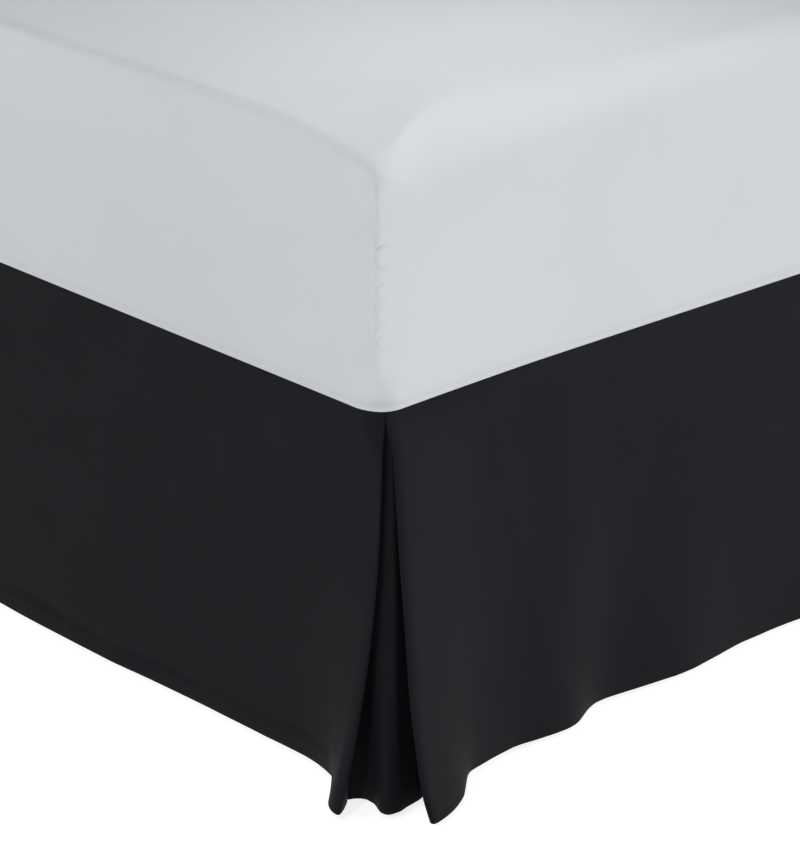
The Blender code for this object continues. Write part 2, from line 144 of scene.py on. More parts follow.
# Crests and troughs of the hem: (place along the bed, out from the mattress's face)
FOOT_HEM = metres(
    (-600, 1), (-470, 13), (-335, -1), (-190, 10), (-70, 1), (60, 5), (140, 2.2), (176, 2.7),
    (219, 4.1), (261, 4.9), (302, 5.2), (342, 5.8), (365, 5.8), (381, 5.2), (417, 3.3),
    (453, 1.8), (489, 0.8), (525, -0.2), (562, -0.4), (598, -0.4), (620, -1.2), (650, -1.3),
)
RIGHT_HEM = metres(
    (-885, 19.1), (-865, 16.9), (-855, 16.3), (-846, 16.8), (-830, 19.3), (-813, 21.4),
    (-800, 22.7), (-790, 22.8), (-780, 21.3), (-773, 19.6), (-756, 11.7), (-737, 3),
    (-724, -0.2), (-714, -0.3), (-696, 1.1), (-670, 4.4), (-643, 7.6), (-616, 10.4),
    (-600, 10.4), (-584, 8.6), (-560, 5.7), (-536, 2.7), (-514, 0.7), (-492, 0.3), (-470, -0.3),
    (-450, 0), (-431, 1.2), (-400, 4), (-290, -1), (-130, 14), (-10, 0), (120, 8), (270, 1),
    (430, 17), (560, 2), (700, 9), (840, -1), (966, 5),
)
LEFT_HEM = metres(
    (-851, 13), (-760, 3), (-640, 16), (-500, 0), (-330, 10), (-200, 1), (-70, 8), (80, -1),
    (210, 15), (370, 2), (500, 7), (650, 0), (800, 12), (966, 3),
)

# Hem of each front at a split corner: (along the front from the corner, out from the front)
FOOT_FLAP = {
    "face": metres(
        (-142, -1.2), (-112, -1.2), (-97, -0.5), (-80, 1.7), (-64.2, 5.4), (-55, 8.3),
        (-49.2, 11.2), (-42.3, 18.3), (-32.8, 29.2), (-24.5, 38.3), (-15.3, 47.7), (-7.5, 52.8),
    ),
    "fold": metres((0.4, 55.8), (7.6, 55.9)),
    "return": metres(
        (5.3, 49), (-1.1, 39.6), (-9.1, 30.4), (-16.5, 30), (-24.5, 24), (-34, 16), (-52, 5.8),
    ),
}
SIDE_FLAP = {
    "face": metres(
        (-161, 16.3), (-145, 17.6), (-131, 19.1), (-118, 21.1), (-102, 23.6), (-95, 25.5),
        (-89, 28.8), (-84, 32.7), (-75, 41.2), (-66, 49.6), (-57, 57.7), (-46, 64.7),
        (-35, 70.6), (-23, 75.6), (-9, 79.6),
    ),
    "fold": metres((1.5, 81.2), (2.7, 76.8)),
    "return": metres((-3, 70), (-15, 55), (-28, 40), (-46, 25), (-72, 12)),
}

# Hem of the corner underlay: (out from the long side's mattress face, out from the foot's)
UNDERLAY = {
    "foot": metres((-52, 2.4), (-40, 6.2), (-30, 14), (-21.5, 21.5)),
    "open": metres(
        (-15, 26.2), (-11.3, 26.8), (-8.8, 21.6), (-5.3, 17.1), (0.4, 13.9), (5.1, 13.9),
        (13.2, 14.9), (26.8, 20.8), (33, 21.4), (36.7, 19.7), (38.4, 16.3), (39.3, 7),
        (37.1, -2.5),
    ),
    "side": metres((35.5, -12.8), (33, -25.2), (26, -39), (16.5, -55), (9, -72.5)),
}

# Long soft ridges in a panel: (place at the seam, and at the hem, depth, half the width)
RIGHT_RIDGES = metres(
    (-885, -775, 0.7, 16), (-770, -760, 0.3, 12), (-715, -715, -0.5, 14), (-540, -520, -0.4, 18),
    (-350, -370, 1, 25), (-180, -150, 1.2, 22), (60, 100, 1.1, 24), (300, 280, -0.9, 22),
    (620, 640, 1.2, 26),
)
LEFT_RIDGES = metres(
    (-860, -790, 1.4, 18), (-560, -600, 1, 24), (-260, -240, -0.9, 20), (20, 50, 1.2, 22),
    (340, 300, 1, 26), (700, 720, -1, 20),
)
FOOT_RIDGES = metres((-520, -480, 1, 24), (-210, -190, 0.8, 22), (60, 40, 0.8, 26))

# Points along each stretch of cloth
LINE_STEPS = 16  # of a drawn line, from one point of its table to the next
SEAM_STEPS = 120
TURN_STEPS = 24
MIDDLE_SPACING = 0.008
FLAP_COLUMNS = 44
FOLD_COLUMNS = 12
RETURN_COLUMNS = 26
HIDDEN_COLUMNS = 18  # of an underlay behind each front
SHOWN_COLUMNS = 60

# Rows of points by height above the hem, and the cloth's thickness there
HEM_ROWS = (0.0, 0.0004, 0.0012, 0.0035, 0.0070, 0.0105, 0.0135, 0.0150, 0.0158, 0.0166, 0.0176)
HEM_ROWS += (0.0188, 0.0205, 0.0235, 0.0270, 0.0310, 0.0355, 0.0405)
STITCH_ROW = 8
THICK_KEYS = (0.0, 0.0004, 0.0012, 0.0150, 0.0158, 0.0166, 0.0176, 0.0188)
THICK_VALUES = (0.0006, 0.0010, 0.0012, 0.0012, 0.0009, 0.0012, 0.0012, 0.0007)


# ---- materials
def node_material(name, colour, roughness, sockets):
    """A Principled material, with its nodes and the shader."""
    made = bpy.data.materials.new(name)
    made.use_nodes = True
    shader = made.node_tree.nodes["Principled BSDF"]
    shader.inputs["Base Color"].default_value = (*colour, 1.0)
    shader.inputs["Roughness"].default_value = roughness
    for socket, value in sockets.items():
        shader.inputs[socket].default_value = value
    return made, made.node_tree, shader


def add_node(tree, kind, **values):
    """A node, its input sockets or its own settings set by name."""
    node = tree.nodes.new(kind)
    for key, value in values.items():
        if key in node.inputs:
            node.inputs[key].default_value = value
        else:
            setattr(node, key, value)
    return node


def noise_node(tree, scale, detail):
    """A noise texture on the object's own coordinates."""
    coords = add_node(tree, "ShaderNodeTexCoord").outputs["Object"]
    node = add_node(tree, "ShaderNodeTexNoise", Scale=scale, Detail=detail)
    tree.links.new(coords, node.inputs["Vector"])
    return node.outputs["Fac"]


def vary_colour(tree, shader, dark, light, scale, detail):
    """Colour between two close shades, by soft noise."""
    ramp = add_node(tree, "ShaderNodeValToRGB")
    for element, place, shade in zip(ramp.color_ramp.elements, (0.30, 0.70), (dark, light)):
        element.position = place
        element.color = (*shade, 1.0)
    tree.links.new(noise_node(tree, scale, detail), ramp.inputs["Fac"])
    tree.links.new(ramp.outputs["Color"], shader.inputs["Base Color"])


def math_node(tree, operation, *values):
    """One sum on sockets or numbers."""
    node = add_node(tree, "ShaderNodeMath", operation=operation)
    for socket, value in zip(node.inputs, values):
        if isinstance(value, (int, float)):
            socket.default_value = value
        else:
            tree.links.new(value, socket)
    return node.outputs[0]


def weave_height(tree, pitch, ribbed):
    """Height of a plain weave with threads pitch apart, from the cloth's own map."""
    cloth = add_node(tree, "ShaderNodeUVMap", uv_map="weave_m")
    apart = add_node(tree, "ShaderNodeSeparateXYZ")
    tree.links.new(cloth.outputs["UV"], apart.inputs[0])
    waves = []
    for axis, share in (("X", 1.0), ("Y", ribbed)):
        turned = math_node(tree, "MULTIPLY", apart.outputs[axis], math.pi / pitch * share)
        waves.append(math_node(tree, "SINE", turned))
    return math_node(tree, "MULTIPLY", waves[0], waves[1])


def add_bump(tree, shader, heights, strength, distance):
    """Bump from the sum of (height, weight) pairs."""
    total = None
    for height, weight in heights:
        part = math_node(tree, "MULTIPLY", height, weight)
        total = part if total is None else math_node(tree, "ADD", total, part)
    bump = add_node(tree, "ShaderNodeBump", Strength=strength, Distance=distance)
    tree.links.new(total, bump.inputs["Height"])
    tree.links.new(bump.outputs["Normal"], shader.inputs["Normal"])


def make_look(name, colour, roughness, dark, light, patches, grains, relief, weave=None, **sockets):
    """A material that varies between two close shades and has a fine relief.

    patches: the shades' noise scale and detail; grains: noises as (scale, detail, weight);
    relief: the bump's strength and distance; weave: its pitch, the share of its threads
    across, and its weight.
    """
    named = {key.replace("_", " "): value for key, value in sockets.items()}
    made, tree, shader = node_material(name, colour, roughness, named)
    vary_colour(tree, shader, dark, light, *patches)
    heights = []
    if weave:
        pitch, ribbed, weight = weave
        heights.append((weave_height(tree, pitch, ribbed), weight))
    heights += [(noise_node(tree, scale, detail), weight) for scale, detail, weight in grains]
    add_bump(tree, shader, heights, *relief)
    return made


SKIRT = make_look(  # charcoal black brushed microfibre
    "skirt_microfibre", (0.0094, 0.0090, 0.0116), roughness=0.62,
    dark=(0.0087, 0.0083, 0.0108), light=(0.0100, 0.0096, 0.0123), patches=(14.0, 5.0),
    weave=(0.00045, 1.0, 0.6), grains=((700.0, 3.0, 0.9), (60.0, 4.0, 1.2)), relief=(0.35, 0.0002),
    Specular_IOR_Level=0.04, Sheen_Weight=0.006, Sheen_Roughness=0.55,
    Sheen_Tint=(0.80, 0.80, 0.88, 1.0),
)
SHEET = make_look(  # smooth pale fitted sheet
    "fitted_sheet", (0.56, 0.58, 0.595), roughness=0.85,
    dark=(0.541, 0.558, 0.579), light=(0.566, 0.585, 0.607), patches=(3.0, 3.0),
    weave=(0.0005, 1.0, 0.5), grains=((900.0, 2.0, 0.4), (30.0, 3.0, 2.0)), relief=(0.22, 0.0002),
    Specular_IOR_Level=0.12, Sheen_Weight=0.03, Sheen_Roughness=0.5,
)
DECK = make_look(  # plain off-white platform cloth, not shiny
    "platform_cloth", (0.62, 0.62, 0.60), roughness=0.92,
    dark=(0.58, 0.58, 0.555), light=(0.65, 0.65, 0.63), patches=(40.0, 4.0),
    weave=(0.0008, 1.0, 1.0), grains=((500.0, 3.0, 1.0),), relief=(0.5, 0.0002),
)
TICKING = make_look(  # woven cover of the box spring, its weave longer one way
    "woven_ticking", (0.52, 0.51, 0.49), roughness=0.90,
    dark=(0.47, 0.46, 0.44), light=(0.55, 0.54, 0.52), patches=(90.0, 4.0),
    weave=(0.0011, 0.5, 1.4), grains=((350.0, 3.0, 0.8),), relief=(0.6, 0.0003),
)
TAPE = make_look(  # binding along the box spring's edges
    "binding_tape", (0.36, 0.36, 0.35), roughness=0.85,
    dark=(0.33, 0.33, 0.32), light=(0.39, 0.39, 0.38), patches=(120.0, 3.0),
    weave=(0.0009, 1.0, 1.6), grains=((400.0, 2.0, 0.6),), relief=(0.6, 0.0003),
)
STEEL = make_look(  # dark powder coat
    "powder_coated_steel", (0.03, 0.03, 0.032), roughness=0.45,
    dark=(0.024, 0.024, 0.026), light=(0.036, 0.036, 0.038), patches=(25.0, 3.0),
    grains=((1600.0, 2.0, 1.0),), relief=(0.25, 0.0002),
)
PLASTIC = make_look(  # black moulded plastic with a fine grain
    "moulded_plastic", (0.022, 0.022, 0.022), roughness=0.5,
    dark=(0.019, 0.019, 0.019), light=(0.026, 0.026, 0.026), patches=(60.0, 3.0),
    grains=((2200.0, 2.0, 1.0),), relief=(0.2, 0.0002),
)
ZINC = make_look(  # plated bolts
    "zinc_plate", (0.55, 0.55, 0.53), roughness=0.38,
    dark=(0.46, 0.46, 0.44), light=(0.60, 0.60, 0.57), patches=(300.0, 3.0),
    grains=((900.0, 2.0, 1.0),), relief=(0.15, 0.0001), Metallic=1.0,
)


# ---- helpers
def smooth_step(share):
    """0 to 1 with level ends."""
    return 0.5 - 0.5 * np.cos(np.pi * np.clip(share, 0.0, 1.0))


def hump(at, centre, reach):
    """1 at the centre, falling off to nothing over about two reaches."""
    return np.exp(-(((at - centre) / reach) ** 2))


def soft_noise(u, v, seed):
    """Smooth noise from -1 to 1 on arrays."""
    flat = [noise.noise(Vector((a, b, seed))) for a, b in zip(np.ravel(u), np.ravel(v))]
    return np.array(flat).reshape(np.shape(u))


def smooth_read(keys, values, at):
    """A monotone cubic through a table's points."""
    keys = np.array(keys)
    values = np.array(values)
    at = np.clip(at, keys[0], keys[-1])
    step = np.diff(keys)
    slope = np.diff(values) / step
    tangent = np.zeros(len(keys))
    tangent[0], tangent[-1] = slope[0], slope[-1]
    before, after = slope[:-1], slope[1:]
    same = before * after > 0
    tangent[1:-1][same] = 2 * before[same] * after[same] / (before[same] + after[same])
    piece = np.clip(np.searchsorted(keys, at, side="right") - 1, 0, len(step) - 1)
    t = (at - keys[piece]) / step[piece]
    low, high = values[piece], values[piece + 1]
    first, second = tangent[piece] * step[piece], tangent[piece + 1] * step[piece]
    return (
        low * (2 * t**3 - 3 * t**2 + 1)
        + first * (t**3 - 2 * t**2 + t)
        + high * (3 * t**2 - 2 * t**3)
        + second * (t**3 - t**2)
    )


def wave_at(rows, place):
    """Outward depth of the hem at places along the bed."""
    return smooth_read(*zip(*rows), place)


def smooth_line(points):
    """A Catmull-Rom line through the points."""
    points = np.array(points, float)
    ends = np.vstack((2 * points[0] - points[1], points, 2 * points[-1] - points[-2]))
    t = (np.arange(LINE_STEPS) / LINE_STEPS)[:, None]
    line = []
    for a, b, c, d in zip(ends, ends[1:], ends[2:], ends[3:]):
        bend = (2 * a - 5 * b + 4 * c - d) * t**2 + (3 * b - a - 3 * c + d) * t**3
        line.append(b + ((c - a) * t + bend) / 2)
    return np.vstack(line + [points[-1:]])


def reach_along(line):
    """Distance along a line at each of its points."""
    return np.concatenate(([0.0], np.cumsum(np.linalg.norm(np.diff(line, axis=0), axis=1))))


def points_at(at, reach, line):
    """A line's points, or other values, at distances along it."""
    return np.column_stack([np.interp(at, reach, column) for column in line.T])


def spread(line, count):
    """Points evenly spaced along a line, its ends included."""
    reach = reach_along(line)
    return points_at(np.linspace(0.0, reach[-1], count + 1), reach, line)


def add_object(name, points, faces, look):
    """A linked mesh object with one look."""
    mesh = bpy.data.meshes.new(name)
    mesh.from_pydata(np.reshape(points, (-1, 3)).tolist(), [], np.array(faces).tolist())
    mesh.materials.append(look)
    made = bpy.data.objects.new(name, mesh)
    bpy.context.scene.collection.objects.link(made)
    return made


def quads(grid):
    """A grid's values at the four corners of each of its quads."""
    corners = (grid[:-1, :-1], grid[1:, :-1], grid[1:, 1:], grid[:-1, 1:])
    return np.stack([corner.ravel() for corner in corners], axis=1)


def grid_object(name, points, look, closed=False, uv=None):
    """A mesh from a grid of points: rows, columns, xyz. A closed grid joins its ends."""
    rows, across, _ = points.shape
    index = np.arange(rows * across).reshape(rows, across)
    if closed:
        index = np.hstack((index, index[:, :1]))
    made = add_object(name, points, quads(index), look)
    if uv is not None:
        u, v = uv
        if closed:
            u = np.hstack((u, u[:, -1:] + (u[:, 1:2] - u[:, :1])))
            v = np.hstack((v, v[:, :1]))
        loops = np.stack((quads(u), quads(v)), axis=-1)
        made.data.uv_layers.new(name="weave_m").data.foreach_set("uv", loops.ravel())
    made.data.shade_smooth()
    return made


# ---- skirt's lines
# top, eased, hem: (along, out) or world (x, y) of each column at the seam, a little below
# it where a turned front has straightened, and at the hem; fold: how much it moves as the
# folded edge does; side: share of the long side's opening; lag: how far it stays behind;
# free: how freely it ripples
Strip = namedtuple("Strip", "top eased hem fold side lag free")


def make_strip(top, hem, fold, side, lag, free, eased=None):
    """A strip of columns, with numbers spread over all of them."""
    spread_out = [np.broadcast_to(np.asarray(v, float), len(top)) for v in (fold, side, lag, free)]
    return Strip(top, top if eased is None else eased, hem, *spread_out)


def join_strips(*strips):
    """Strips end to end."""
    return Strip(*[np.concatenate(parts) for parts in zip(*strips)])


def cut_strip(strip, keep):
    """Some of a strip's columns."""
    return Strip(*[values[keep] for values in strip])


def seam_place(front, offset, back):
    """(along, out) on the deck's seam, going back from a corner's slit along one front."""
    back = np.atleast_1d(back)
    radius = SEAM_CORNER + offset
    bend = radius * TURN[front]
    angle = TURN[front] - np.minimum(back, bend) / radius
    beyond = np.maximum(back - bend, 0.0)
    along = -ARC_CENTRE + radius * np.sin(angle) - beyond
    return np.column_stack((along, -ARC_CENTRE + radius * np.cos(angle)))


def eased_place(front, offset, back):
    """The same places where the foot's flap has straightened below the seam's turn."""
    turned = seam_place(front, offset, back)
    if front == "side":
        return turned
    back = np.atleast_1d(back)
    out = -BASE_INSET + offset - EASE_SLANT * np.clip(1.0 - back / EASE_SLANT_LENGTH, 0.0, 1.0)
    straight = np.column_stack((EASE_PAST - back, out))
    near = 1.0 - smooth_step((back - EASE_STRAIGHT) / EASE_RETURN)
    return turned + (straight - turned) * near[:, None]


def seam_line(front, offset, start, end, place=seam_place):
    """The seam between two distances back from a corner's slit."""
    return place(front, offset, np.linspace(start, end, SEAM_STEPS + 1))


def fold_line(front, place):
    """The seam's pressed turn at a front's folded edge."""
    middle = (FACE_OFFSET + RETURN_OFFSET) / 2
    line = []
    for turn in np.linspace(0.0, math.pi, TURN_STEPS + 1):
        across = math.copysign(abs(math.cos(turn)) ** 0.5, math.cos(turn))
        ahead = max(math.sin(turn), 0.0) ** 0.5
        line.append(place(front, middle + FOLD_RADIUS * across, FOLD_SETBACK - FOLD_RADIUS * ahead))
    return np.vstack(line)


def split_line(parts):
    """A smooth line through all of a table's points, cut where its next part starts."""
    line = smooth_line([point for points in parts.values() for point in points])
    cuts = [0]
    for points in parts.values():
        cuts.append(cuts[-1] + len(points) * LINE_STEPS)
    cuts[-1] = len(line) - 1
    return [line[start : end + 1] for start, end in zip(cuts, cuts[1:])]


def flap_strip(front, parts):
    """One front from its flat stretch round the folded edge to its return's end."""
    side = 1.0 if front == "side" else 0.0
    face, fold, back = split_line(parts)
    face_length = reach_along(face)[-1]
    share = np.linspace(0.0, 1.0, FLAP_COLUMNS + 1)
    lag = RETURN_LAG * smooth_step(np.linspace(0.0, 1.0, RETURN_COLUMNS + 1))[1:]
    tops = []
    for place in (seam_place, eased_place):
        face_top = seam_line(front, FACE_OFFSET, FOLD_SETBACK + face_length, FOLD_SETBACK, place)
        back_top = seam_line(front, RETURN_OFFSET, FOLD_SETBACK, PLEAT_RETURN, place)
        fold_top = spread(fold_line(front, place), FOLD_COLUMNS)[1:]
        tops.append((spread(face_top, FLAP_COLUMNS), fold_top, spread(back_top, RETURN_COLUMNS)[1:]))
    (face_top, fold_top, back_top), eased = tops
    face_hem, free = spread(face, FLAP_COLUMNS), 1.0 - smooth_step(share * 1.25)
    on_face = make_strip(face_top, face_hem, smooth_step(share), side, 0.0, free, eased[0])
    on_fold = make_strip(fold_top, spread(fold, FOLD_COLUMNS)[1:], 1.0, side, 0.0, 0.0, eased[1])
    on_return = make_strip(back_top, spread(back, RETURN_COLUMNS)[1:], 1.0, side, lag, 0.0, eased[2])
    return join_strips(on_face, on_fold, on_return)


def placed(strip, corner, front):
    """A corner's strip in the world, with its pleat as open as that corner's."""
    sign = CORNER_SIGN[corner]

    def turn(points):
        along, out = points[:, 0], points[:, 1]
        if front == "foot":
            return np.column_stack((sign * (HALF_WIDTH + along), -HALF_LENGTH - out))
        return np.column_stack((sign * (HALF_WIDTH + out), -HALF_LENGTH - along))

    hem = strip.top + (strip.hem - strip.top) * CORNER_SWING[corner]
    return strip._replace(top=turn(strip.top), eased=turn(strip.eased), hem=turn(hem))


def between(first, last, count):
    """Points evenly spaced between two, without them."""
    share = (np.arange(1, count) / count)[:, None]
    return first + (last - first) * share


def foot_strip():
    """The foot panel, from the left corner's return to the right corner's."""
    flap = flap_strip("foot", FOOT_FLAP)
    left = cut_strip(placed(flap, "left", "foot"), slice(None, None, -1))
    right = placed(flap, "right", "foot")
    count = round((right.hem[0, 0] - left.hem[-1, 0]) / MIDDLE_SPACING)
    top = between(left.top[-1], right.top[0], count)
    hem = between(left.hem[-1], right.hem[0], count)
    hem[:, 1] = -HALF_LENGTH - wave_at(FOOT_HEM, hem[:, 0])
    return join_strips(left, make_strip(top, hem, 0.0, 0.0, 0.0, 1.0), right)


def side_strip(corner, rows):
    """A long side panel, from its foot corner's return to its plain end at the head."""
    sign = CORNER_SIGN[corner]
    flap = placed(flap_strip("side", SIDE_FLAP), corner, "side")
    count = round((HEAD_END - flap.hem[0, 1]) / MIDDLE_SPACING)
    top, hem = (
        np.vstack((between(line[0], (line[0, 0], HEAD_END), count), (line[0, 0], HEAD_END)))
        for line in (flap.top, flap.hem)
    )
    hem[:, 0] = sign * (HALF_WIDTH + wave_at(rows, hem[:, 1]))
    straight = make_strip(top, hem, 0.0, 1.0, 0.0, 1.0)
    strip = join_strips(cut_strip(flap, slice(None, None, -1)), straight)
    return strip if sign > 0 else cut_strip(strip, slice(None, None, -1))


def underlay_strip(corner):
    """A corner underlay, from the foot's return to the long side's."""
    foot, opened, side = split_line(UNDERLAY)
    foot_end = PLEAT_RETURN - reach_along(foot)[-1]
    side_start = PLEAT_RETURN - reach_along(side)[-1]
    foot_seam = seam_line("foot", UNDERLAY_OFFSET, PLEAT_RETURN, foot_end)
    side_seam = seam_line("side", UNDERLAY_OFFSET, side_start, PLEAT_RETURN)[:, ::-1]
    to_slit = seam_line("foot", UNDERLAY_OFFSET, foot_end, 0.0)
    from_slit = seam_line("side", UNDERLAY_OFFSET, 0.0, side_start)[1:, ::-1]
    open_seam = np.vstack((to_slit, from_slit))
    across = smooth_step(2 * np.arange(1, SHOWN_COLUMNS + 1) / SHOWN_COLUMNS - 1)
    strips = []
    for seam, hem, count, start, turned_side in (
        (foot_seam, foot, HIDDEN_COLUMNS, 0, 0.0),
        (open_seam, opened, SHOWN_COLUMNS, 1, across),
        (side_seam, side, HIDDEN_COLUMNS, 1, 1.0),
    ):
        ends = spread(seam, count)[start:], spread(hem, count)[start:]
        strips.append(make_strip(*ends, 1.0, turned_side, UNDERLAY_LAG, 0.0))
    strip = join_strips(*strips)
    slit = reach_along(foot_seam)[-1] + reach_along(to_slit)[-1]
    swell = SWELL * hump(reach_along(strip.top), slit + SWELL_PLACE, SWELL_REACH)
    eased = strip.top + swell[:, None] * np.array(SWELL_WAY)
    strip = placed(strip._replace(eased=eased), corner, "foot")
    return strip if corner == "right" else cut_strip(strip, slice(None, None, -1))


# ---- hanging sheets
def row_heights():
    """Heights of the rows above the hem, from the hem up."""
    middle = np.linspace(0.0465, DROP - 0.020, 38)
    top = np.array((DROP - 0.014, DROP - 0.009, DROP - 0.005, DROP - 0.002, DROP))
    return np.concatenate((HEM_ROWS, middle, top))


def ridges_at(rows, place, depth):
    """The outward push of a panel's long soft ridges."""
    push = np.zeros(place.shape)
    for at_seam, at_hem, out, half_width in rows:
        push += out * hump(place, at_seam + (at_hem - at_seam) * depth, half_width)
    return push * smooth_step(depth * 4.0)


def hem_puckers(reach, height, seed, depth_of):
    """The small drag marks that a sewn hem pulls into the cloth above it."""
    where = 0.5 + 0.9 * soft_noise(reach * 11.0, height * 0.0, seed)
    slant = soft_noise(reach * 6.0, height * 0.0, seed + 3.0) * DRAG_WANDER
    groove = -depth_of * np.clip(where, 0.0, 1.2) * hump(height, DRAG_HEIGHT + slant, DRAG_REACH)
    fine = CRINKLE * soft_noise(reach * 55.0, height * 30.0, seed + 7.0)
    return groove + fine * hump(height, CRINKLE_HEIGHT, CRINKLE_REACH)


def calm_line(strip):
    """A strip's hem line without its short waves, except beside its folded edges."""
    reach = reach_along(strip.hem)
    away = np.abs(reach[:, None] - reach[None, :])
    weight = np.exp(-((away / WAVE_REACH) ** 2)) * np.gradient(reach)[None, :]
    calm = weight @ strip.hem / weight.sum(axis=1, keepdims=True)
    held = np.minimum(reach, reach[-1] - reach)
    folded = strip.fold > 0.999
    if folded.any():
        held = np.minimum(held, away[:, folded].min(axis=1))
    return strip.hem + (calm - strip.hem) * smooth_step((held - KEEP_LENGTH) / KEEP_FADE)[:, None]


def hanging_sheet(name, strip, ridges, seed, along_axis, pucker_depth, dip):
    """A sheet of cloth that hangs from its seam, with its hem and its soft ripples."""
    height = row_heights()
    depth = (1.0 - height / DROP)[:, None]
    drop_shares, foot_swing, side_swing = zip(*OPENING)
    foot_open = smooth_read(drop_shares, foot_swing, depth)
    side_open = smooth_read(drop_shares, side_swing, depth)
    at_fold = foot_open + (side_open - foot_open) * strip.side
    share = depth**HANG_POWER * (1 - strip.fold) + at_fold * strip.fold
    share = share * (1 - strip.lag * (1 - share))
    calm = (calm_line(strip) - strip.hem) * (1 - np.exp(-height / WAVE_HEIGHT))[:, None, None]
    top = strip.top + (strip.eased - strip.top) * smooth_step(depth / EASE_DEPTH)[:, :, None]
    plan = top + (strip.hem + calm - top) * share[:, :, None]
    reach = np.tile(reach_along(strip.hem), (len(height), 1))
    tall = np.tile(height[:, None], (1, len(strip.top)))
    down = np.tile(depth, (1, len(strip.top)))
    tangent = np.gradient(plan, axis=1)
    tangent /= np.linalg.norm(tangent, axis=2, keepdims=True)
    outward = np.stack((tangent[:, :, 1], -tangent[:, :, 0]), axis=2)
    place = plan[:, :, along_axis]
    ripple = ridges_at(ridges, place, down)
    for k, (size, along, up, onset) in enumerate(RIPPLES):
        ripple += size * soft_noise(reach * along, tall * up, seed + k) * smooth_step(down * onset)
    ripple += hem_puckers(reach, tall, seed + 2.0, pucker_depth)
    plan = plan + outward * (ripple * strip.free)[:, :, None]
    level = SEAM_HEIGHT - down * (DROP + dip * strip.fold)
    points = np.dstack((plan, level))[::-1]
    made = grid_object(name, points, SKIRT, uv=(reach[::-1], tall[::-1]))
    thick = np.interp(height[::-1], THICK_KEYS, THICK_VALUES) / HEM_CLOTH
    group = made.vertex_groups.new(name="thickness")
    columns = len(strip.top)
    for row, weight in enumerate(thick):
        group.add(list(range(row * columns, (row + 1) * columns)), float(weight), "REPLACE")
    solid = made.modifiers.new("Thickness", "SOLIDIFY")
    solid.thickness = HEM_CLOTH
    solid.offset = 0.0
    solid.vertex_group = "thickness"
    stitch_line = np.dstack((plan, level))[STITCH_ROW]
    stitches = stitch_object(f"{name}_hem_stitches", stitch_line, outward[STITCH_ROW])
    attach(made, "root")
    return made, stitches


STITCH_PITCH = 0.0032
STITCH_HALF = 0.0012
STITCH_WIDE = 0.00028
STITCH_PROUD = 0.00068
STITCH_FACES = ((0, 2, 4), (0, 4, 3), (0, 3, 5), (0, 5, 2), (1, 4, 2), (1, 3, 4), (1, 5, 3), (1, 2, 5))


def stitch_object(name, line, outward):
    """The hem's row of stitches, each a small spindle of thread on both faces."""
    reach = reach_along(line)
    count = int(reach[-1] / STITCH_PITCH)
    middle = (np.arange(count) + 0.5) * STITCH_PITCH
    centre = points_at(middle, reach, line)
    along = points_at(middle + 0.001, reach, line) - centre
    along /= np.maximum(np.linalg.norm(along, axis=1, keepdims=True), 1e-9)
    out = points_at(middle, reach, outward)
    out /= np.linalg.norm(out, axis=1, keepdims=True)
    out = np.column_stack((out, np.zeros(count)))
    up = np.array((0.0, 0.0, 1.0))
    corners = [centre - along * STITCH_HALF, centre + along * STITCH_HALF]
    corners += [centre + out * STITCH_PROUD, centre - out * STITCH_PROUD]
    corners += [centre + up * STITCH_WIDE, centre - up * STITCH_WIDE]
    faces = (np.array(STITCH_FACES)[None] + 6 * np.arange(count)[:, None, None]).reshape(-1, 3)
    made = add_object(name, np.stack(corners, axis=1), faces, SKIRT)
    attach(made, "root")
    return made


def build_skirt():
    """The three drop panels and the two corner underlays.

    axis is the one that a panel's ridges are placed along; width is the cloth's, laid flat.
    """
    for name, strip, ridges, seed, axis, puckers, dip, width in (
        ("foot_drop", foot_strip(), FOOT_RIDGES, 1.5, 0, 0.0017, 0.0004, 1.726),
        ("side_drop_right", side_strip("right", RIGHT_HEM), RIGHT_RIDGES, 12.5, 1, 0.0007, 0.0004, 2.125),
        ("side_drop_left", side_strip("left", LEFT_HEM), LEFT_RIDGES, 31.5, 1, 0.0010, 0.0004, 2.107),
        ("underlay_right", underlay_strip("right"), (), 47.5, 0, 0.0, 0.0016, 0.2006),
        ("underlay_left", underlay_strip("left"), (), 59.5, 0, 0.0, 0.0016, 0.1935),
    ):
        made, stitches = hanging_sheet(f"{name}_cloth", strip, ridges, seed, axis, puckers, dip)
        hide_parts(f"skirt_{name}")


# ---- rounded blocks
CORNERS = ((1, -1), (1, 1), (-1, 1), (-1, -1))  # anticlockwise from the right foot corner


def corner_curve(power, count):
    """Points of a unit superellipse's quarter, from its foot end to its side end."""
    angle = np.linspace(0.0, math.pi / 2, 600)
    dense = np.column_stack((np.sin(angle) ** (2 / power), np.cos(angle) ** (2 / power)))
    return spread(dense, count)


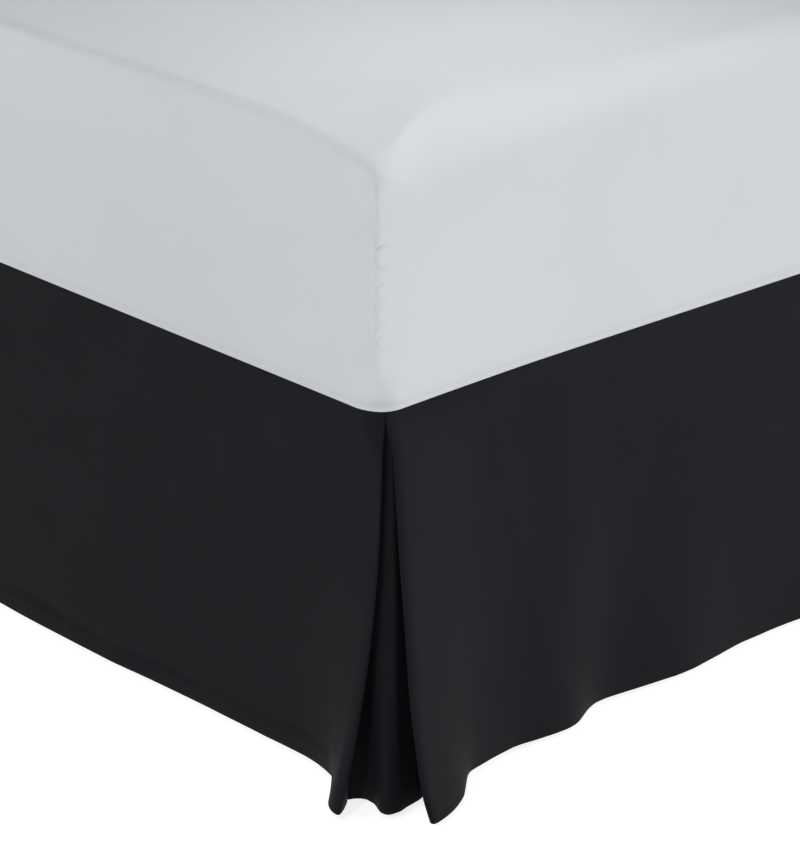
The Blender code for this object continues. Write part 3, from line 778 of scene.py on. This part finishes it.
class Outline:
    """A rounded rectangle's stations, and where they are at any inset."""

    def __init__(self, half, corner, power, corner_count, long_count, short_count):
        self.half = half
        self.corner = corner
        curve = corner_curve(power, corner_count)
        stations = []
        for k, (sx, sy) in enumerate(CORNERS):
            swap = sx * sy > 0  # these corners run from their long side to their short side
            for ux, uy in curve[::-1] if swap else curve:
                stations.append((sx, sy, ux, uy, sx, sy, ux, uy, 0.0))
            end = (0.0, 1.0) if swap else (1.0, 0.0)
            count = short_count if swap else long_count
            for part in np.arange(1, count) / count:
                blend = 0.5 - 0.5 * math.cos(math.pi * part)
                stations.append((sx, sy, *end, *CORNERS[(k + 1) % 4], *end, blend))
        stations = np.array(stations)
        self.first, self.second, self.share = stations[:, :4], stations[:, 4:8], stations[:, 8]
        rim = self.at(0.0)
        ahead = np.roll(rim, -1, axis=0) - np.roll(rim, 1, axis=0)
        ahead /= np.linalg.norm(ahead, axis=1, keepdims=True)
        self.outward = np.column_stack((ahead[:, 1], -ahead[:, 0]))
        self.rim = rim
        self.reach = reach_along(np.vstack((rim, rim[:1])))[:-1]

    def at(self, inset):
        """The stations' (x, y) at an inset, one for all of them or one for each."""
        inset = np.broadcast_to(np.asarray(inset, float), len(self.share))
        corner = self.corner * (1 - inset / self.half[0])

        def place(ends):
            x = ends[:, 0] * (self.half[0] - inset - corner * (1 - ends[:, 2]))
            y = ends[:, 1] * (self.half[1] - inset - corner * (1 - ends[:, 3]))
            return np.column_stack((x, y))

        return place(self.first) * (1 - self.share[:, None]) + place(self.second) * self.share[:, None]

    def block(self, rings):
        """Points of a closed block from (inset, height) rings, each a number or an array."""
        size = len(self.share)
        layers = [(self.at(inset), np.broadcast_to(height, size)) for inset, height in rings]
        return np.stack([np.column_stack(layer) for layer in layers])

    def around(self, points, scale=1.0):
        """The distance along the rim, times a scale, for each of a block's points."""
        return np.tile(self.reach * scale, (len(points), 1))

    def corner_reach(self):
        """Each station's distance along the rim from its nearest corner's middle.

        Positive on the long sides, negative across the foot and the head.
        """
        total = self.reach[-1] + np.linalg.norm(self.rim[0] - self.rim[-1])
        found = np.full(len(self.reach), 9.0)
        for sx, sy in CORNERS:
            sharp = np.array((sx * self.half[0], sy * self.half[1]))
            middle = self.reach[np.argmin(np.linalg.norm(self.rim - sharp, axis=1))]
            away = (self.reach - middle + total / 2) % total - total / 2
            away = away if sx * sy < 0 else -away
            nearer = np.abs(away) < np.abs(found)
            found[nearer] = away[nearer]
        return found


def seal(made):
    """Join the points where a block's first and last rings close."""
    bm = bmesh.new()
    bm.from_mesh(made.data)
    bmesh.ops.remove_doubles(bm, verts=bm.verts, dist=0.00002)
    bmesh.ops.dissolve_degenerate(bm, edges=bm.edges, dist=0.00001)
    bmesh.ops.recalc_face_normals(bm, faces=bm.faces)
    bm.to_mesh(made.data)
    bm.free()
    made.data.shade_smooth()


# ---- the mattress
# Small creases beside the fitted sheet's corner seam: (height, depth)
PUCKERS = (
    (0.547, 0.0024), (0.528, 0.0016), (0.513, 0.0008), (0.496, 0.0012),
    (0.477, 0.0008), (0.462, 0.0009), (0.448, 0.001),
)
BEAD_TOP = 0.0160
# The sheet's gathered lower edge, from under the mattress up its side: (inset, height
# above the mattress's bottom, share of the edge's sag)
MATTRESS_BEAD = (
    (0.012, 0.0, 0.0), (0.006, 0.0001, 0.0), (0.0034, 0.0004, 0.0), (0.0027, 0.0002, 0.0),
    (0.0022, 0.0, 0.8), (0.0013, 0.0, 1.0), (0.0006, 0.0003, 1.0), (0.0002, 0.0009, 1.0),
    (0.0, 0.0022, 1.0), (0.0003, 0.0044, 1.0), (0.0011, 0.0058, 1.0), (0.0019, 0.0072, 1.0),
    (0.0024, 0.009, 0.9), (0.0027, 0.0115, 0.75), (0.0028, BEAD_TOP, 0.5),
)
CREASE_ZONE = (0.4400, 0.5560)  # heights of the seam's creases, where rows are close
SIDE_ROWS = (9, 86, 15)  # below, in and above it
EDGE_ROWS = 14
TOP_ROWS = 14
SIDE_INSET = 0.0004
SIDE_CROWN = 0.0030  # how strongly the sides bulge
TOP_EDGE_DIP = 0.0015  # the top's edge lies this far below the mattress's height
TOP_CROWN = 0.0035  # and its middle this far above its edge
CORNER_DIP = 0.017  # the top's corners are drawn down
CORNER_DIP_REACH = 0.085

# The sheet's lower edge beside a corner seam: its sag along a long side, less a lift and a
# tuck at the seam; its sag across an end, less towards the middle, and a droop at the seam
SIDE_SAG, SIDE_SAG_LENGTH, SIDE_LIFT = 0.0044, 0.24, 0.0013
SIDE_TUCK, SIDE_TUCK_LENGTH = 0.0010, 0.012
END_SAG, END_SAG_LOSS, END_SAG_LENGTH = 0.0012, 0.0006, 0.86
END_DROOP, END_DROOP_LENGTH = 0.0009, 0.015

# The top edge beside a corner seam: where the long side's is roundest, and how far that
# reaches; where it starts to grow from the end's, and over how far
ROUND_PLACE, ROUND_REACH = 0.09, 0.10
GROW_START, GROW_LENGTH = -0.020, 0.090
# It is wider than high, most beside the corner: by how much, and there, where, over how far
WIDER, CORNER_WIDER, WIDER_PLACE, WIDER_REACH, WIDER_START = 0.006, 0.020, 0.17, 0.14, 0.15

# The corner seam holds the sheet tight, but not at the bottom's and the top's edge
TIGHT_GAP, TIGHT_RISE, TIGHT_FALL = 0.001, 0.046, 0.034

# The seam's groove: depth, width, and how sharply it starts
GROOVE, GROOVE_WIDTH, SEAM_EDGE = 0.0014, 0.010, (-0.002, 0.004)
# Its creases: length, tilt, waves, half a line's width; the bulge above each line
CREASE_LENGTH, CREASE_TILT, CREASE_WAVE, CREASE_LINE = 0.0120, 0.06, (0.0012, 260.0, 2.4), 0.0017
CREASE_BULGE, BULGE_RISE, BULGE_REACH = 0.35, 0.0060, 0.0042
# Hollows across the foot: (depth, place from the seam, half its width, height, half its height)
HOLLOWS = ((0.0026, -0.014, 0.012, 0.588, 0.017), (0.0020, -0.034, 0.010, 0.566, 0.014))
# and one with its place from the bed's middle
FOOT_HOLLOW = (0.0015, 0.560, 0.060, 0.612, 0.010)


def sheet_sag(beside):
    """How far the sheet's lower edge hangs below the mattress: most at the corner seams."""
    side = SIDE_SAG * np.clip(1 - beside / SIDE_SAG_LENGTH, 0.0, 1.0) ** 1.6 - SIDE_LIFT
    side = side - SIDE_TUCK * np.exp(-np.abs(beside) / SIDE_TUCK_LENGTH)
    end = END_SAG - END_SAG_LOSS * np.clip(-beside / END_SAG_LENGTH, 0.0, 1.0)
    end = end + END_DROOP * np.exp(-np.abs(beside) / END_DROOP_LENGTH)
    return np.where(beside > 0, side, end)


def mattress_rings(outline):
    """The mattress's rings, from the middle of its underside up to the middle of its top."""
    beside = outline.corner_reach()
    rounder = hump(beside, ROUND_PLACE, ROUND_REACH)
    side_edge = SIDE_TOP_EDGE + (SIDE_TOP_CORNER - SIDE_TOP_EDGE) * rounder
    edge = END_TOP_EDGE + (side_edge - END_TOP_EDGE) * smooth_step((beside - GROW_START) / GROW_LENGTH)
    wider = CORNER_WIDER * hump(beside, WIDER_PLACE, WIDER_REACH) * smooth_step(beside / WIDER_START)
    wide = edge + WIDER + wider
    rings = [(outline.half[0], MATTRESS_BOTTOM), (0.30, MATTRESS_BOTTOM), (0.08, MATTRESS_BOTTOM)]
    sag = sheet_sag(beside)
    rings += [(inset, MATTRESS_BOTTOM + rise - part * sag) for inset, rise, part in MATTRESS_BEAD]
    start = MATTRESS_BOTTOM + BEAD_TOP
    shoulder = MATTRESS_TOP - TOP_EDGE_DIP - edge
    levels = (start, *CREASE_ZONE, shoulder)
    for low, high, count in zip(levels, levels[1:], SIDE_ROWS):
        for k in range(1, count + 1):
            tall = low + (high - low) * k / count
            part = np.mean(tall - start) / np.mean(shoulder - start)
            crown = SIDE_CROWN * (1 - math.sin(math.pi * (part * 0.62 + 0.06)))
            rings.append((crown + SIDE_INSET, tall))
    base = rings[-1][0]
    for turn in np.linspace(0.0, math.pi / 2, EDGE_ROWS + 1)[1:]:
        rings.append((base + wide * (1 - math.cos(turn)), shoulder + edge * math.sin(turn)))
    for part in np.linspace(0.0, 1.0, TOP_ROWS + 1)[1:]:
        inset = (base + wide) + (outline.half[0] - base - wide) * part
        rings.append((inset, MATTRESS_TOP - TOP_EDGE_DIP + TOP_CROWN * smooth_step(part)))
    return rings


def dress_mattress(outline, points):
    """Pull the fitted sheet's seams, creases and hollows into the mattress's points."""
    beside = outline.corner_reach()[None, :]
    tall = points[:, :, 2]
    body = smooth_step((tall - MATTRESS_BOTTOM - 0.012) / 0.02)
    body = body * smooth_step((MATTRESS_TOP - 0.010 - tall) / 0.04)
    on_side = np.maximum(beside, 0.0)
    start = smooth_step((beside - SEAM_EDGE[0]) / SEAM_EDGE[1])
    push = -GROOVE * np.exp(-on_side / GROOVE_WIDTH) * start * body
    fade = hump(on_side, 0.0, CREASE_LENGTH) * start
    swing, waves, shift = CREASE_WAVE
    for k, (height, depth) in enumerate(PUCKERS):
        line = height + CREASE_TILT * beside + swing * np.sin(beside * waves + k * shift)
        bulge = CREASE_BULGE * hump(tall, line + BULGE_RISE, BULGE_REACH)
        push = push - depth * fade * (hump(tall, line, CREASE_LINE) - bulge)
    for depth, place, reach, height, rise in HOLLOWS:
        push = push - depth * hump(beside, place, reach) * hump(tall, height, rise)
    at_foot = (outline.outward[:, 1] < -0.5)[None, :]
    depth, place, reach, height, rise = FOOT_HOLLOW
    push = push - depth * at_foot * hump(points[:, :, 0], place, reach) * hump(tall, height, rise)
    push = push + 0.0012 * body * soft_noise(outline.around(points, 4.0), tall * 7.0, 4.5)
    points[:, :, :2] += outline.outward[None] * push[:, :, None]
    sharp = np.abs(points[:, :, :2]) - np.array(outline.half)
    near = np.exp(-((sharp**2).sum(axis=2)) / CORNER_DIP_REACH**2)
    upper = smooth_step((tall - 0.53) / 0.11)
    points[:, :, 2] -= CORNER_DIP * near * upper
    on_top = smooth_step((tall - MATTRESS_TOP + 0.02) / 0.02)
    points[:, :, 2] += 0.0012 * on_top * soft_noise(points[:, :, 0] * 3.0, points[:, :, 1] * 3.0, 9.5)
    return points


def build_mattress():
    """The mattress in its fitted sheet."""
    half = (HALF_WIDTH, HALF_LENGTH)
    outline, rounded = (Outline(half, MATTRESS_CORNER, power, 88, 48, 36) for power in (16.0, 2.0))
    rings = mattress_rings(outline)
    points = outline.block(rings)
    tall = points[:, :, 2:]
    tight = smooth_step((tall - MATTRESS_BOTTOM - TIGHT_GAP) / TIGHT_RISE)
    tight = tight * smooth_step((MATTRESS_TOP - TIGHT_GAP - tall) / TIGHT_FALL)
    points = points * tight + rounded.block(rings) * (1 - tight)
    rises = np.linalg.norm(np.diff(points, axis=0), axis=2).mean(axis=1)
    climb = np.concatenate(([0.0], np.cumsum(rises)))
    v = np.tile(climb[:, None], (1, len(outline.reach)))
    points = dress_mattress(outline, points)
    uv = (outline.around(points), v[::-1])
    made = grid_object("mattress_in_sheet", points[::-1], SHEET, True, uv)
    seal(made)
    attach(made, "root")
    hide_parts("mattress")


# ---- deck, box spring
def build_deck():
    """The deck: the off-white platform cloth between box spring and mattress."""
    half = (BASE_HALF_WIDTH + DECK_REACH, BASE_HALF_LENGTH + DECK_REACH)
    outline = Outline(half, SEAM_CORNER + DECK_REACH, 2.0, 16, 60, 60)
    middle = DECK_BOTTOM + DECK_RISE
    inner = [(inset, DECK_HALF) for inset in (half[0], 0.5, 0.3, 0.15, 0.06, 0.02, 0.0125, 0.0115)]
    inner += [(0.0105, DECK_HEM_HALF), (0.001, DECK_HEM_HALF)]
    rings = [(inset, middle - thick) for inset, thick in inner] + [(0.0, middle)]
    rings += [(inset, middle + thick) for inset, thick in reversed(inner)]
    points = outline.block(rings)
    at_head = (outline.outward[:, 1] > 0.9)[None, :] * hump(points[:, :, 1], half[1], 0.02)
    points[:, :, 1] += 0.0016 * at_head * soft_noise(points[:, :, 0] * 9.0, points[:, :, 2] * 0.0, 2.5)
    u, v = points[:, :, 0], points[:, :, 1]
    made = grid_object("platform_deck", points[::-1], DECK, True, (u[::-1], v[::-1]))
    seal(made)
    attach(made, "root")
    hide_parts("skirt_deck")


def build_box_spring():
    """The box spring: a padded cover between two taped edges."""
    half = (BASE_HALF_WIDTH, BASE_HALF_LENGTH)
    outline = Outline(half, BASE_CORNER, 2.2, 24, 60, 50)
    tall = BASE_TOP - BASE_BOTTOM
    edge = ((half[0], 0.0004), (0.3, 0.0004), (0.02, 0.0002), (0.006, 0.0006), (0.0045, 0.003))
    rings = [(inset, BASE_BOTTOM + rise) for inset, rise in edge]
    for part in np.linspace(0.0, 1.0, 23)[1:-1]:
        swell = COVER_SWELL * math.sin(math.pi * part) ** 0.6
        rings.append((COVER_INSET - swell, BASE_BOTTOM + tall * part))
    rings += [(inset, BASE_TOP - rise) for inset, rise in reversed(edge)]
    points = outline.block(rings)
    body = smooth_step((points[:, :, 2] - BASE_BOTTOM) / 0.03)
    body = body * smooth_step((BASE_TOP - points[:, :, 2]) / 0.03)
    loose = soft_noise(outline.around(points, 8.0), points[:, :, 2] * 14.0, 6.5)
    points[:, :, :2] += outline.outward[None] * (0.0008 * loose * body)[:, :, None]
    uv = (outline.around(points), points[::-1, :, 2])
    made = grid_object("box_spring_cover", points[::-1], TICKING, True, uv)
    seal(made)
    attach(made, "root")
    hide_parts("box_spring")
    turns = [(math.cos(turn), math.sin(turn)) for turn in np.linspace(0.0, 2 * math.pi, 13)[:-1]]
    for name, height in (("lower", BASE_BOTTOM + TAPE_INSET), ("upper", BASE_TOP - TAPE_INSET)):
        rings = [(TAPE_INSET - TAPE_RADIUS * cos, height + TAPE_RADIUS * sin) for cos, sin in turns]
        points = outline.block(rings + rings[:1])
        v = np.tile((np.arange(len(points)) * TAPE_STEP)[:, None], (1, len(outline.reach)))
        uv = (outline.around(points), v)
        tape = grid_object(f"box_spring_tape_{name}", points[::-1], TAPE, True, uv)
        seal(tape)
        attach(tape, "root")


# ---- the frame
def bar(name, low, high, look, edge):
    """A bar between two corners, with soft edges."""
    made = add_object(name, [], [], look)
    bm = bmesh.new()
    bmesh.ops.create_cube(bm, size=1.0)
    low, high = Vector(low), Vector(high)
    for vert in bm.verts:
        vert.co = Vector([(low[k] + high[k]) / 2 + vert.co[k] * (high[k] - low[k]) for k in range(3)])
    bm.to_mesh(made.data)
    bm.free()
    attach(made, "root")
    soften = made.modifiers.new("Edges", "BEVEL")
    soften.width = edge
    soften.segments = 3
    soften.limit_method = "ANGLE"
    made.data.shade_smooth()
    return made


def turned(name, profile, look, slot, centre, steps=40):
    """A turned piece from (radius, height) rows, standing on a centre."""
    angle = np.linspace(0.0, 2 * math.pi, steps + 1)[:-1]
    rows = []
    for radius, height in profile:
        ring = np.column_stack((radius * np.cos(angle), radius * np.sin(angle), np.full(steps, height)))
        rows.append(ring + np.array(centre))
    made = grid_object(name, np.stack(rows), look, True)
    seal(made)
    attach(made, "root")
    return made


LEG_PROFILE = metres(
    (0, 148.7), (11.2, 148.7), (12, 148), (12, 145.2), (13.2, 144), (17.8, 140.8), (18.9, 139.6),
    (19, 138), (18.6, 130), (14.1, 24), (14, 18.6), (14.6, 17), (20.5, 13), (21.7, 11.8),
    (22, 10), (22, 2.2), (21.6, 0.8), (20.5, 0), (0, 0),
)
BOLT_PROFILE = metres(
    (0, 5.2), (5, 5.2), (6.2, 4.4), (6.6, 3), (6.6, 1.6), (9.2, 1.5), (9.6, 1), (9.6, 0.1),
    (0, 0.1),
)
LEG_LINES = {"foot": -0.800, "middle": 0.000, "head": 0.800}
RAILS = ("side_rail_left", "side_rail_right", "cross_rail_foot", "cross_rail_middle", "cross_rail_head")
ORIGIN = (0.0, 0.0, 0.0)


def build_frame():
    """Rails, legs and the bolts that hold the rails together."""
    for node in RAILS:
        low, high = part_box(node)
        made = bar(f"{node}_tube", low, high, STEEL, RAIL_EDGE)
        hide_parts(node)
    for line, y in LEG_LINES.items():
        for corner, sign in CORNER_SIGN.items():
            spot = (sign * RAIL_CENTRE_X, y, 0.0)
            made = turned(f"leg_{line}_{corner}_turned", LEG_PROFILE, PLASTIC, "leg_plastic", spot)
            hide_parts(f"leg_{line}_{corner}")
            bolt = turned(f"bolt_{line}_{corner}", BOLT_PROFILE, ZINC, "painted_steel", ORIGIN, 24)
            spot = Vector((sign * BOLT_SEAT_X, y, FRAME_HEIGHT - RAIL_HEIGHT / 2))
            turn = Matrix.Rotation(sign * math.pi / 2, 4, "Y")
            bolt.data.transform(Matrix.Translation(spot) @ turn)
    made = turned("leg_centre_turned", LEG_PROFILE, PLASTIC, "leg_plastic", ORIGIN)
    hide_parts("leg_centre")


# ---- stage and lights
FLOOR_REACH = 40.0


def area_light(name, place, target, size, power):
    """A soft square lamp that looks at a point."""
    data = bpy.data.lights.new(name, "AREA")
    data.shape = "SQUARE"
    data.size = size
    data.energy = power
    made = bpy.data.objects.new(name, data)
    made.location = place
    made.rotation_euler = (Vector(target) - Vector(place)).to_track_quat("-Z", "Y").to_euler()
    made.visible_camera = False
    bpy.context.scene.collection.objects.link(made)


def build_stage():
    """Floor, sky and lamps."""
    white = (1.0, 1.0, 1.0, 1.0)
    glow = {"Specular IOR Level": 0.1, "Emission Color": white, "Emission Strength": 0.80}
    look = node_material("pale_floor", (0.50, 0.50, 0.50), 0.9, glow)[0]
    corners = [(x * FLOOR_REACH, y * FLOOR_REACH, 0.0) for x, y in ((-1, -1), (1, -1), (1, 1), (-1, 1))]
    floor = add_object("floor", corners, [(0, 1, 2, 3)], look)
    sky = bpy.data.worlds.new("studio")
    sky.use_nodes = True
    background = sky.node_tree.nodes["Background"]
    background.inputs["Color"].default_value = (0.97, 0.985, 1.0, 1.0)
    background.inputs["Strength"].default_value = 0.20
    bpy.context.scene.world = sky
    corner = (0.76, -1.02, 0.3)
    area_light("right", (6.69, 9.25, 3.48), corner, 5.2, 1045.0)
    area_light("front", (3.96, -4.22, 2.41), corner, 2.5, 22.0)
    area_light("left", (2.80, -7.30, 4.92), corner, 0.6, 180.0)
    area_light("above", (-0.10, -1.95, 2.75), (0.50, -1.02, 0.64), 1.2, 17.0)
    area_light("back", (-2.60, 4.50, 3.40), (0.0, 0.0, 0.6), 3.0, 25.0)
    area_light("near", (0.67, -0.76, 1.15), (0.67, -0.76, 0.64), 0.4, 1.36)


def build_camera():
    """The camera, off the bed's right foot corner and looking a little down."""
    data = bpy.data.cameras.new("camera")
    data.sensor_width = 36.0
    data.lens = 158.3333
    made = bpy.data.objects.new("camera", data)
    made.location = (3.13474, -3.13889, 1.64639)
    made.rotation_euler = (math.radians(68.2), 0.0, math.radians(47.8))
    bpy.context.scene.collection.objects.link(made)
    bpy.context.scene.camera = made


build_camera()
build_box_spring()
build_deck()
build_skirt()
build_mattress()
build_frame()
build_stage()
bpy.context.scene.view_settings.view_transform = "Standard"
